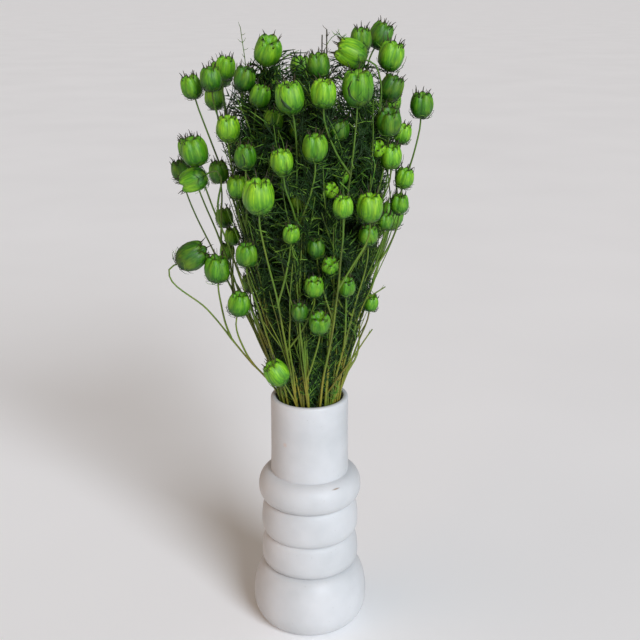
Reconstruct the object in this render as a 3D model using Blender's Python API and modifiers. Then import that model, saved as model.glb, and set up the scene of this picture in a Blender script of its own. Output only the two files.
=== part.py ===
"""A stacked-ring stone vase that holds a bunch of dried, dyed nigella stems with their seed pods.

Metres, +Z up. The origin is the middle of the vase's foot. Every cut stem is one solid: its branches, its
ribbed pods with their crown of styles, the thread-like bracts under each pod and the thread leaves.
"""

import math
import random
from typing import NamedTuple

import bmesh
import bpy
import numpy as np
from mathutils import Vector

MM = 0.001

# The vase, turned from one block and bored straight
VASE_HEIGHT = 216 * MM
NECK_RADIUS = 33 * MM
BORE_RADIUS = 28.5 * MM
FLOOR_HEIGHT = 12 * MM
FLOOR_ROUND = 3 * MM
FOOT_RADIUS = 34 * MM
GROOVE_RADIUS = 37.2 * MM
LIP_ROUND = 2.2 * MM
EDGE = 1.5 * MM
VASE_SIDES = 30

# The stems
STEM_RADIUS = 1.45 * MM
BRANCH_RADIUS = 1.0 * MM
TIP_RADIUS = 0.85 * MM
BUNCH_RADIUS = 24.55 * MM
GATHER_HEIGHT = 213 * MM
FAN_APEX_HEIGHT = 118 * MM
LOWEST_FORK = GATHER_HEIGHT + 9 * MM
FORK_DROP = 42 * MM
LONGEST_REACH = 27 * MM
MOST_PODS = 3

# The pods and what grows on them
POD_STRETCH = 1.08
CARPELS = 5
BRACTS = 3
BRACT_RADIUS = 0.55 * MM
LEAF_RADIUS = 0.5 * MM
LEAF_LENGTH = (22 * MM, 38 * MM)
LEAVES = 2
CLEARANCE = 0.5 * MM

HIDDEN_PODS = 17
SEED = 7


class Bulge(NamedTuple):
    """One turned ring of the vase: its top, its widest place and how wide, and the joint below it."""

    high: float
    widest: float
    radius: float
    joint: float
    steps: int


BULGES = (
    Bulge(147.2 * MM, 132.5 * MM, 44.6 * MM, GROOVE_RADIUS, 6),
    Bulge(119.9 * MM, 99 * MM, 42.4 * MM, GROOVE_RADIUS, 4),
    Bulge(87.6 * MM, 67 * MM, 42.6 * MM, GROOVE_RADIUS, 4),
    Bulge(57.5 * MM, 24 * MM, 50.5 * MM, FOOT_RADIUS, 6),
)


class Seen(NamedTuple):
    """A pod as it shows from the front, in millimetres and degrees.

    side and height are where it shows on the upright plane through the vase's axis, and toward is how
    much nearer the viewer it stands. lean turns its crown right, and nod turns it toward the viewer.
    """

    side: float
    height: float
    toward: float
    width: float
    lean: float = 0
    nod: float = 8


VIEWPOINT = Vector((9, -789, 548)) * MM

SEEN_PODS = (
    # the crown of the bunch, left to right
    Seen(-90, 472, -15, 17, -14),
    Seen(-75, 478, 0, 17, -3),
    Seen(-64, 486, -25, 17, 8),
    Seen(-49, 478, 15, 17, 10),
    Seen(-31, 499, 20, 21, 12, 35),
    Seen(-30, 477, -5, 16),
    Seen(-6, 486, -20, 17),
    Seen(8, 488, 30, 17, -4),
    Seen(33, 497, 35, 21, -65),
    Seen(40, 507, -10, 17),
    Seen(55, 510, -30, 19, 25),
    Seen(63, 495, 10, 20, 12),
    # the second row
    Seen(-38, 465, 25, 16, 15),
    Seen(-14, 464, 65, 21, -8),
    Seen(12, 467, 70, 18.5),
    Seen(38, 471, 65, 23),
    Seen(64, 471, 15, 18, 22),
    Seen(65, 460, -20, 15, 10),
    Seen(47, 457, 15, 13, -10),
    Seen(88, 458, 5, 18, 2),
    Seen(-27, 446, 30, 15, 8),
    Seen(-42, 445, -5, 15),
    Seen(-63, 440, 35, 18),
    Seen(-9, 438, 30, 12, 20),
    Seen(24, 439, 45, 15, 5),
    Seen(63, 445, 40, 19, 0, 25),
    Seen(74, 436, 15, 14, 8),
    # the shoulders and the middle of the bunch
    Seen(-90, 422, 25, 21, -12),
    Seen(-50, 418, 55, 16.5),
    Seen(-21, 414, 70, 17, -5),
    Seen(5, 425, 70, 18.5),
    Seen(54, 425, 35, 13, 0, 65),
    Seen(36, 422, 10, 12, 30),
    Seen(65, 418, 30, 17),
    Seen(74, 402, 10, 15, 10),
    Seen(-101, 407, -25, 16, -10),
    Seen(-91, 400, 30, 19, -112),
    Seen(-71, 406, 0, 16, -5),
    Seen(25, 404, 35, 13),
    Seen(52, 407, -5, 13),
    Seen(-57, 394, 30, 16),
    Seen(-17, 394, 25, 14),
    Seen(18, 392, 50, 12, 0, 60),
    Seen(-40, 386, 85, 23.5),
    Seen(-8, 382, 35, 12),
    Seen(72, 381, 5, 15, 2),
    Seen(27, 378, 75, 15),
    Seen(49, 377, 60, 20),
    Seen(61, 366, 25, 12, 5),
    Seen(17, 366, 25, 13, -15, 30),
    # the lower pods, on side shoots
    Seen(-96, 337, 20, 23, 58),
    Seen(-75, 326, 25, 20.5),
    Seen(-68, 341, -20, 13),
    Seen(-51, 338, 45, 17),
    Seen(-61, 354, -10, 13),
    Seen(-13, 357, 55, 13, 5, 20),
    Seen(48, 354, 40, 15),
    Seen(55, 339, 0, 11, 10),
    Seen(8, 342, 50, 14, -5),
    Seen(17, 330, 55, 13, 0, 50),
    Seen(5, 311, 55, 15, 0, 20),
    Seen(30, 311, 50, 14, 0, 25),
    Seen(-49, 314, -5, 14),
    Seen(-58, 296, 30, 18, 10),
    Seen(48, 298, 5, 13, 8),
    Seen(-8, 289, 55, 13),
    Seen(9, 280, 55, 17, 0, 35),
    Seen(-27, 235, 45, 19.5, -30),
)


class Pod:
    """One seed pod: its middle, the way its crown points and its greatest radius."""

    def __init__(self, middle, axis, radius, turn=0.0):
        self.middle = Vector(middle)
        self.axis = Vector(axis).normalized()
        self.radius = radius
        self.turn = turn

    def place(self, around, out, rise):
        """A place on or in the pod, from an angle round its axis and shares of its radius."""
        angle = around + self.turn
        local = Vector((out * math.cos(angle), out * math.sin(angle), rise * POD_STRETCH))
        return self.middle + self.axis.to_track_quat("Z", "Y") @ (local * self.radius)

    @property
    def foot(self):
        """Where the stalk enters the pod."""
        return self.place(0, 0, -0.78)

    @property
    def stalk(self):
        """The last bend of the stalk, straight below the foot."""
        return self.foot - self.axis * (7 * MM + self.radius * 0.4)

    @property
    def crown(self):
        """The middle of the ring of styles."""
        return self.place(0, 0, 0.9)


class Shoot:
    """A stem or a side branch: the points it runs through, and the pod on its end."""

    def __init__(self, pod, points):
        self.pod = pod
        self.points = points


class Sprig:
    """One cut stem with its side branches."""

    def __init__(self, main):
        self.main = main
        self.branches = []

    def shoots(self):
        return [self.main] + self.branches


def on_sight_line(seen):
    """The real place of a pod that shows at that side and height but stands nearer the viewer."""
    shown = Vector((seen.side, 0, seen.height)) * MM
    sight = shown - VIEWPOINT
    return shown - sight * (seen.toward * MM / abs(sight.y))


def crown_way(seen):
    """The way a seen pod's crown points, from its lean and its nod."""
    lean = math.radians(seen.lean)
    nod = math.radians(seen.nod)
    return Vector((math.sin(lean), -math.cos(lean) * math.sin(nod), math.cos(lean) * math.cos(nod)))


def fan_radius(height):
    """How far the bunch spreads at a height: a straight fan that closes in a dome at the top."""
    spread = (height - GATHER_HEIGHT) * 0.38 + BUNCH_RADIUS
    dome_foot, dome_top = 430 * MM, 520 * MM
    if height > dome_foot:
        share = (height - dome_foot) / (dome_top - dome_foot)
        spread *= math.sqrt(max(0.0, 1 - share * share))
    return spread


def set_out_pods():
    """The pods that show from the front, then those of the far side, kept clear of each other."""
    draw = random.Random(SEED)
    pods = []
    for seen in SEEN_PODS:
        turn = draw.uniform(0, math.tau)
        pods.append(Pod(on_sight_line(seen), crown_way(seen), seen.width * MM / 2, turn))
    far_side = 0
    while far_side < HIDDEN_PODS:
        height = draw.uniform(285, 497) * MM
        turn = math.radians(draw.uniform(8, 172))
        out = fan_radius(height) * draw.uniform(0.72, 1.0)
        middle = Vector((out * math.cos(turn), out * math.sin(turn), height))
        radius = draw.uniform(7, 10.5) * MM
        if all((middle - p.middle).length > (radius + p.radius) * 1.35 for p in pods):
            way = (middle - Vector((0, 0, FAN_APEX_HEIGHT))).normalized() + Vector((0, 0, 0.7))
            pods.append(Pod(middle, way, radius, turn))
            far_side += 1
    return pods


def fan_point(pod, height):
    """Where the straight line from the fan's apex to the pod's stalk passes a height."""
    end = pod.stalk
    share = (height - FAN_APEX_HEIGHT) / (end.z - FAN_APEX_HEIGHT)
    return Vector((end.x * share, end.y * share, height))


def stem_points(pod):
    """The first route of a cut stem: up from the vase's floor, through its neck and out to the pod."""
    neck = fan_point(pod, GATHER_HEIGHT)
    reach = math.hypot(neck.x, neck.y)
    if reach > BUNCH_RADIUS:
        neck *= BUNCH_RADIUS / reach
    neck.z = GATHER_HEIGHT
    foot = Vector((neck.x * 0.72, neck.y * 0.72, FLOOR_HEIGHT + 0.5 * MM))
    end = pod.stalk
    points = [foot, neck]
    for share in (0.36, 0.70):
        straight = neck.lerp(end, share)
        line = fan_point(pod, straight.z)
        points.append(straight.lerp(line, 0.35))
    return points + [end, pod.foot]


def point_at_height(points, height):
    """Where a rising route passes a height."""
    for low, high in zip(points, points[1:]):
        if low.z <= height <= high.z:
            return low.lerp(high, (height - low.z) / (high.z - low.z))
    return points[-2].copy()


def gather_sprigs(pods):
    """Gives each pod a stem of its own, or a side branch of a taller stem that passes close below it."""
    sprigs = []
    for pod in sorted(pods, key=lambda p: -p.middle.z):
        fork_height = max(LOWEST_FORK, pod.stalk.z - FORK_DROP)
        nearest, host = LONGEST_REACH, None
        for sprig in sprigs:
            if len(sprig.branches) + 1 >= MOST_PODS or sprig.main.points[-2].z < fork_height + 20 * MM:
                continue
            fork = point_at_height(sprig.main.points, fork_height)
            gap = (Vector((pod.stalk.x, pod.stalk.y, fork_height)) - fork).length
            if gap < nearest:
                nearest, host = gap, sprig
        if host is None:
            sprigs.append(Sprig(Shoot(pod, stem_points(pod))))
        else:
            fork = point_at_height(host.main.points, fork_height)
            rise = pod.stalk - fork
            bend = fork + Vector((rise.x * 0.62, rise.y * 0.62, rise.z * 0.38))
            host.branches.append(Shoot(pod, [fork, bend, pod.stalk, pod.foot]))
    return sprigs


class Layout:
    """The routes and pods of all sprigs as one set of points, moved apart until nothing touches.

    Each body is a segment with a radius. A pod is three: its widest part, its crown and its foot.
    """

    ROUNDS = 220

    def __init__(self, sprigs):
        self.sprigs = sprigs
        self.places, self.ends, self.radii, self.owners = [], [], [], []
        self.chains, self.pod_sets = [], []
        self.forks = []
        for number, sprig in enumerate(sprigs):
            for shoot in sprig.shoots():
                self.add_shoot(number, shoot, shoot is sprig.main)
        self.places = np.array(self.places)
        self.ends = np.array(self.ends)
        self.radii = np.array(self.radii)
        self.owners = np.array(self.owners)
        self.home = self.places.copy()

    def add_point(self, place):
        self.places.append(list(place))
        return len(self.places) - 1

    def add_body(self, owner, first, last, radius):
        self.ends.append((first, last))
        self.radii.append(radius)
        self.owners.append(owner)

    def add_shoot(self, owner, shoot, is_main):
        chain = [self.add_point(p) for p in shoot.points]
        pod = shoot.pod
        middle = self.add_point(pod.middle)
        crown = self.add_point(pod.crown)
        base = self.add_point(pod.middle - pod.axis * pod.radius * 0.45)
        for first, last in zip(chain, chain[1:]):
            self.add_body(owner, first, last, STEM_RADIUS if is_main else BRANCH_RADIUS)
        self.add_body(owner, middle, base, pod.radius * 1.0)
        self.add_body(owner, middle, crown, pod.radius * 0.72)
        self.chains.append((chain, is_main))
        self.pod_sets.append([chain[-2], chain[-1], middle, crown, base])
        if not is_main:
            main_chain = next(c for c, main in reversed(self.chains) if main)
            self.forks.append((chain[0], main_chain, self.places[chain[0]][2]))

    def near_pairs(self):
        """Pairs of bodies of different sprigs that come close enough to matter."""
        first, last = self.places[self.ends[:, 0]], self.places[self.ends[:, 1]]
        middles, halves = (first + last) / 2, np.linalg.norm(last - first, axis=1) / 2
        i, j = np.triu_indices(len(self.ends), 1)
        other = self.owners[i] != self.owners[j]
        i, j = i[other], j[other]
        reach = halves[i] + halves[j] + self.radii[i] + self.radii[j] + 4 * MM
        close = np.linalg.norm(middles[i] - middles[j], axis=1) < reach
        return i[close], j[close]

    def push_apart(self):
        i, j = self.near_pairs()
        a0, a1 = self.places[self.ends[i, 0]], self.places[self.ends[i, 1]]
        b0, b1 = self.places[self.ends[j, 0]], self.places[self.ends[j, 1]]
        s, t = closest_shares(a0, a1, b0, b1)
        apart = (a0 + (a1 - a0) * s[:, None]) - (b0 + (b1 - b0) * t[:, None])
        gap = np.linalg.norm(apart, axis=1)
        lack = self.radii[i] + self.radii[j] + 2.2 * MM - gap
        hit = lack > 0
        i, j, s, t, apart, gap, lack = (v[hit] for v in (i, j, s, t, apart, gap, lack))
        way = apart / np.maximum(gap, 1e-6)[:, None]
        way[:, 2] *= 0.6
        push = way * (lack * 0.5)[:, None]
        moves = np.zeros_like(self.places)
        counts = np.zeros(len(self.places))
        for ends, share, sign in ((i, s, 1), (j, t, -1)):
            for side, weight in ((0, 1 - share), (1, share)):
                index = self.ends[ends, side]
                np.add.at(moves, index, push * sign * weight[:, None])
                np.add.at(counts, index, weight)
        self.places += moves / np.maximum(counts, 1)[:, None]
        return float(lack.max()) if len(lack) else 0.0

    def keep_pods_whole(self):
        """A pod and the end of its stalk move as one, and drift back toward where they belong."""
        for group in self.pod_sets:
            shift = (self.places[group] - self.home[group]).mean(axis=0) * 0.985
            self.places[group] = self.home[group] + shift

    def keep_stems_smooth(self):
        for chain, is_main in self.chains:
            inner = chain[1:-2]
            for before, here, after in zip(chain, inner, chain[2:]):
                level = self.places[[before, after]].mean(axis=0)
                self.places[here, :2] += (level - self.places[here])[:2] * 0.04
            if is_main:
                self.places[chain[:2], 2] = self.home[chain[:2], 2]

    def keep_in_vase(self):
        for chain, is_main in self.chains:
            for here in chain[:2] if is_main else ():
                reach = np.hypot(*self.places[here, :2])
                if reach > BUNCH_RADIUS:
                    self.places[here, :2] *= BUNCH_RADIUS / reach

    def keep_forks_on_stems(self):
        for fork, chain, height in self.forks:
            for low, high in zip(chain, chain[1:]):
                if self.places[low, 2] <= height <= self.places[high, 2]:
                    share = (height - self.places[low, 2]) / (self.places[high, 2] - self.places[low, 2])
                    self.places[fork] = self.places[low] * (1 - share) + self.places[high] * share

    def settle(self):
        """Runs the rules until the bodies are clear, and writes the places back. Returns what is lacking."""
        for _ in range(self.ROUNDS):
            lack = self.push_apart()
            self.keep_pods_whole()
            self.keep_stems_smooth()
            self.keep_in_vase()
            self.keep_forks_on_stems()
        for shoot, (chain, _), group in zip(self.all_shoots(), self.chains, self.pod_sets):
            shoot.pod.middle = Vector(self.places[group[2]])
            shoot.points = [Vector(self.places[k]) for k in chain]
        return lack

    def all_shoots(self):
        return [shoot for sprig in self.sprigs for shoot in sprig.shoots()]


def closest_shares(a0, a1, b0, b1):
    """How far along each of two segments their closest points lie, for arrays of segments."""
    u, v, w = a1 - a0, b1 - b0, a0 - b0
    a, b, c = (u * u).sum(1), (u * v).sum(1), (v * v).sum(1)
    d, e = (u * w).sum(1), (v * w).sum(1)
    a, c = np.maximum(a, 1e-12), np.maximum(c, 1e-12)
    bend = a * c - b * b
    s = np.where(bend > 1e-14, (b * e - c * d) / np.where(bend > 1e-14, bend, 1), 0.5)
    s = np.clip(s, 0, 1)
    t = np.clip((b * s + e) / c, 0, 1)
    s = np.clip((b * t - d) / a, 0, 1)
    return s, t


class Crowd:
    """Everything placed so far, asked whether a new thread would touch another sprig."""

    def __init__(self, layout):
        self.first = list(layout.places[layout.ends[:, 0]])
        self.last = list(layout.places[layout.ends[:, 1]])
        self.radii = list(layout.radii)
        self.owners = list(layout.owners)

    def is_clear(self, owner, first, last, radius):
        others = np.array(self.owners) != owner
        a0, a1 = np.array(self.first)[others], np.array(self.last)[others]
        b0, b1 = np.broadcast_to(first, a0.shape), np.broadcast_to(last, a0.shape)
        s, t = closest_shares(a0, a1, b0, b1)
        gap = np.linalg.norm((a0 + (a1 - a0) * s[:, None]) - (b0 + (b1 - b0) * t[:, None]), axis=1)
        return bool((gap > np.array(self.radii)[others] + radius + CLEARANCE).all()) and clear_of_vase(last)

    def add(self, owner, first, last, radius):
        self.first.append(np.array(first))
        self.last.append(np.array(last))
        self.radii.append(radius)
        self.owners.append(owner)


def clear_of_vase(point):
    return point[2] > GATHER_HEIGHT + 4 * MM


def clear_the_scene():
    for obj in list(bpy.data.objects):
        bpy.data.objects.remove(obj)


def collection(name):
    made = bpy.data.collections.new(name)
    bpy.context.scene.collection.children.link(made)
    return made


def finish(name, colour, roughness):
    """A plain finish for one kind of piece."""
    made = bpy.data.materials.new(name)
    made.use_nodes = True
    shader = made.node_tree.nodes["Principled BSDF"]
    shader.inputs["Base Color"].default_value = (*colour, 1)
    shader.inputs["Roughness"].default_value = roughness
    return made


def mesh_object(name, bm, home):
    mesh = bpy.data.meshes.new(name)
    bm.to_mesh(mesh)
    bm.free()
    made = bpy.data.objects.new(name, mesh)
    home.objects.link(made)
    return made


def quarter_turns(steps, first, last):
    """Sines and cosines of angles from first to last, in degrees, leaving out the first."""
    angles = [math.radians(first + (last - first) * k / steps) for k in range(1, steps + 1)]
    return [(math.sin(a), math.cos(a)) for a in angles]


def vase_outline():
    """The turned profile, from the outer edge of the lip down to the foot, then up the bore."""
    inner = NECK_RADIUS - LIP_ROUND
    points = [(inner, VASE_HEIGHT)]
    for sine, cosine in quarter_turns(2, 90, 0):
        points.append((inner + LIP_ROUND * cosine, VASE_HEIGHT - LIP_ROUND * (1 - sine)))
    above = NECK_RADIUS + 0.5 * MM
    points.append((above, BULGES[0].high))
    for bulge, lower in zip(BULGES, [b.high for b in BULGES[1:]] + [0]):
        for sine, cosine in quarter_turns(bulge.steps, 90, -90):
            joint = above if sine > 0 else bulge.joint
            reach = bulge.high - bulge.widest if sine > 0 else bulge.widest - lower
            points.append((joint + (bulge.radius - joint) * cosine, bulge.widest + reach * sine))
        above = bulge.joint
    points += [(0, 0), (0, FLOOR_HEIGHT), (BORE_RADIUS - FLOOR_ROUND, FLOOR_HEIGHT)]
    points += [(BORE_RADIUS, FLOOR_HEIGHT + FLOOR_ROUND), (BORE_RADIUS, VASE_HEIGHT - EDGE)]
    points += [(BORE_RADIUS + EDGE, VASE_HEIGHT)]
    return points


def make_vase(home, material):
    bm = bmesh.new()
    outline = [bm.verts.new((r, 0, z)) for r, z in vase_outline()]
    for first, last in zip(outline, outline[1:] + outline[:1]):
        if first.co.x > 0 or last.co.x > 0:
            bm.edges.new((first, last))
    vase = mesh_object("vase", bm, home)
    screw = vase.modifiers.new("turn", "SCREW")
    screw.steps = screw.render_steps = VASE_SIDES
    screw.use_merge_vertices = True
    screw.merge_threshold = 0.05 * MM
    vase.data.materials.append(material)
    return vase


def pod_mesh(pod):
    """A pod from a sphere: fused carpels with grooves between them, a point on each, and a flat foot."""
    bm = bmesh.new()
    bmesh.ops.create_uvsphere(bm, u_segments=2 * CARPELS, v_segments=5, radius=1)
    bmesh.ops.dissolve_verts(bm, verts=[min(bm.verts, key=lambda v: v.co.z)])
    for vert in bm.verts:
        x, y, z = vert.co
        around = math.atan2(y, x)
        ring = round(math.acos(max(-1.0, min(1.0, z))) / math.pi * 5)
        on_rib = round(around / (math.pi / CARPELS)) % 2 == 0
        out = {0: 0.0, 1: 0.56 if on_rib else 0.52, 2: 0.93, 3: 0.99, 4: 0.60}[ring]
        rise = {0: 0.70, 1: 1.16 if on_rib else 0.84, 2: 0.52, 3: -0.20, 4: -0.84}[ring]
        vert.co = pod.place(around, out if on_rib else out * 0.88, rise)
    return bm


def needle_mesh(first, last, radius):
    """A three-sided thread that runs from first to a point at last."""
    way = last - first
    bm = bmesh.new()
    bmesh.ops.create_cone(
        bm, cap_ends=True, cap_tris=False, segments=3, radius1=radius, radius2=0, depth=way.length
    )
    facing = way.to_track_quat("Z", "Y")
    for vert in bm.verts:
        vert.co = first + way * 0.5 + facing @ vert.co
    return bm


def stem_mesh(points, first_radius, last_radius):
    """A three-sided stem: a triangle that is extruded from point to point, tapering on the way."""
    bm = bmesh.new()
    steps = len(points) - 1
    shrink = (last_radius / first_radius) ** (1 / steps)
    way = (points[1] - points[0]).normalized()
    root = bmesh.ops.create_circle(bm, cap_ends=True, segments=3, radius=first_radius)["verts"]
    for vert in root:
        vert.co = points[0] + way.to_track_quat("Z", "Y") @ vert.co
    end = root[0].link_faces[0]
    for number in range(1, steps + 1):
        before, here, after = points[number - 1], points[number], points[min(steps, number + 1)]
        new_way = (after - before).normalized()
        bend = way.rotation_difference(new_way)
        grown = bmesh.ops.extrude_face_region(bm, geom=[end])["geom"]
        if number > 1:
            bmesh.ops.delete(bm, geom=[end], context="FACES_ONLY")
        end = next(item for item in grown if isinstance(item, bmesh.types.BMFace))
        for vert in end.verts:
            vert.co = here + bend @ (vert.co - before) * shrink
        way = new_way
    bmesh.ops.recalc_face_normals(bm, faces=bm.faces)
    return bm


def grow_bracts(number, pod, crowd, draw):
    """Bracts that leave the underside of a pod through the middle of a facet, where there is room."""
    made = []
    facets = list(range(2 * CARPELS))
    draw.shuffle(facets)
    for facet in facets:
        around = (facet + 0.5) * math.pi / CARPELS
        root = pod.place(around, 0.45, -0.62)
        tip = pod.place(around, draw.uniform(1.25, 1.55), draw.uniform(-0.35, 0.10))
        if len(made) < BRACTS and crowd.is_clear(number, root, tip, BRACT_RADIUS):
            crowd.add(number, root, tip, BRACT_RADIUS)
            made.append(needle_mesh(root, tip, BRACT_RADIUS))
    return made


def grow_leaf(number, sprig, crowd, draw):
    """One thread leaf: long threads that fan out from just above a node of the stem, where there is room."""
    points = sprig.main.points
    made = []
    for _ in range(24):
        height = draw.uniform(GATHER_HEIGHT + 14 * MM, points[-2].z - 12 * MM)
        turn = draw.uniform(0, math.tau)
        for step, spread in enumerate((-0.9, 0.9, -0.3, 0.3)):
            node = point_at_height(points, height + step * 2.5 * MM)
            way = Vector((math.cos(turn + spread), math.sin(turn + spread), draw.uniform(0.8, 1.6)))
            tip = node + way.normalized() * draw.uniform(*LEAF_LENGTH)
            if crowd.is_clear(number, node, tip, LEAF_RADIUS):
                made.append((node, tip))
        if len(made) >= 2:
            break
        made.clear()
    for first, last in made:
        crowd.add(number, first, last, LEAF_RADIUS)
    return [needle_mesh(first, last, LEAF_RADIUS) for first, last in made]


def unite(name, trunk, growth, home):
    """Joins the trunk and all that grows on it into one solid, and removes the pieces."""
    union = trunk.modifiers.new("grow together", "BOOLEAN")
    union.operation = "UNION"
    union.solver = "MANIFOLD"
    union.operand_type = "COLLECTION"
    union.collection = growth
    bpy.context.view_layer.update()
    graph = bpy.context.evaluated_depsgraph_get()
    mesh = bpy.data.meshes.new_from_object(trunk.evaluated_get(graph))
    mesh.name = name
    made = bpy.data.objects.new(name, mesh)
    home.objects.link(made)
    bpy.data.objects.remove(trunk)
    for obj in list(growth.objects):
        bpy.data.objects.remove(obj)
    return made


def make_sprig(number, sprig, crowd, homes, material):
    """One cut stem as one solid."""
    bunch, growth = homes
    name = f"sprig_{number + 1:02d}"
    draw = random.Random(SEED + number)
    trunk = mesh_object(name + "_stem", stem_mesh(sprig.main.points, STEM_RADIUS, TIP_RADIUS), bunch)
    for branch in sprig.branches:
        mesh_object(name + "_branch", stem_mesh(branch.points, BRANCH_RADIUS, TIP_RADIUS), growth)
    threads = []
    for shoot in sprig.shoots():
        mesh_object(name + "_pod", pod_mesh(shoot.pod), growth)
        threads += grow_bracts(number, shoot.pod, crowd, draw)
    for _ in range(LEAVES):
        threads += grow_leaf(number, sprig, crowd, draw)
    for bm in threads:
        mesh_object(name + "_thread", bm, growth)
    made = unite(name, trunk, growth, bunch)
    made.data.materials.clear()
    made.data.materials.append(material)
    return made


def main():
    clear_the_scene()
    bpy.context.scene.unit_settings.system = "METRIC"
    home = collection("nigella_pods_in_vase")
    growth = collection("growth")
    make_vase(home, finish("white stone", (0.82, 0.81, 0.79), 0.4))
    sprigs = gather_sprigs(set_out_pods())
    layout = Layout(sprigs)
    lack = layout.settle()
    pods = sum(len(sprig.shoots()) for sprig in sprigs)
    print(f"{len(sprigs)} sprigs with {pods} pods, at most {max(0, lack / MM):.2f} mm too close")
    crowd = Crowd(layout)
    dyed = finish("dyed green plant", (0.09, 0.25, 0.03), 0.6)
    for number, sprig in enumerate(sprigs):
        make_sprig(number, sprig, crowd, (home, growth), dyed)
    bpy.data.collections.remove(growth)


main()
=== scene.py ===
# %% [markdown]
# # Dyed nigella seed pods in a white stone vase
# Nigella, or love-in-a-mist, is cut when its seed pods have swollen, dried hanging, and dipped in green dye.
# The scene dresses the CAD part with what makes the real bunch soft: ribbed papery pods, horned crowns,
# thread-like bracts and leaves. Every cut stem stays one piece, as it grew, and the vase is another.

# %% The frame
import math
import random

import bmesh
import bpy
import numpy as np
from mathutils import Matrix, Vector, noise
from mathutils.geometry import interpolate_bezier


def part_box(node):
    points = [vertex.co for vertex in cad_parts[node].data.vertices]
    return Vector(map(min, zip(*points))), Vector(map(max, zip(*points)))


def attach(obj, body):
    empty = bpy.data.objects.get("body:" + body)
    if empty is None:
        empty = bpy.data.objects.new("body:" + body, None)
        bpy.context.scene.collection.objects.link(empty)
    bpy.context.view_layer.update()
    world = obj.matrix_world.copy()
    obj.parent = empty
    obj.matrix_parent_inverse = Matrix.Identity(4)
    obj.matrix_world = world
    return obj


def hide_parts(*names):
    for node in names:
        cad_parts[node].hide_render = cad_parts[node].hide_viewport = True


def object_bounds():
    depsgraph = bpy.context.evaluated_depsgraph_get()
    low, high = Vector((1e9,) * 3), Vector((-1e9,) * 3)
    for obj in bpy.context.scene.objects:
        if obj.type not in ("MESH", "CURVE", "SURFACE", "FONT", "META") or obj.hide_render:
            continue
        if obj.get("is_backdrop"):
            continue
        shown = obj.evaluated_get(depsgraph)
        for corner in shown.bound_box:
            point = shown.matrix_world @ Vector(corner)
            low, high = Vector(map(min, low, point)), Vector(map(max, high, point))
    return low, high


MM = 0.001
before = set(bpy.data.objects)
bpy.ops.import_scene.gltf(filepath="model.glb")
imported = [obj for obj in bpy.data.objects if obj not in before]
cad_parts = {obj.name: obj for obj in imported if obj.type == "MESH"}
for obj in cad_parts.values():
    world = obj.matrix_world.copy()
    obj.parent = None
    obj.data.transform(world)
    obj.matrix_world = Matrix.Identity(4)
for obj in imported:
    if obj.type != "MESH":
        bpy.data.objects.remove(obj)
cad_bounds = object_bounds()
print(len(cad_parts), "nodes; height", round(cad_bounds[1].z / MM, 1), "mm")

# %% [markdown]
# The pods stand where the CAD part has them. Each row is one stalk with its pod: the number of its cut stem,
# the pod's radius, how far the pod is turned, the way its crown points, and the places the stalk runs
# through. The first row of a stem is its main shoot, and the others are side branches. Lengths are in mm.
# Only the last branch of stem 32 takes another way than in the CAD: it comes out beside its neighbours.

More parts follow.
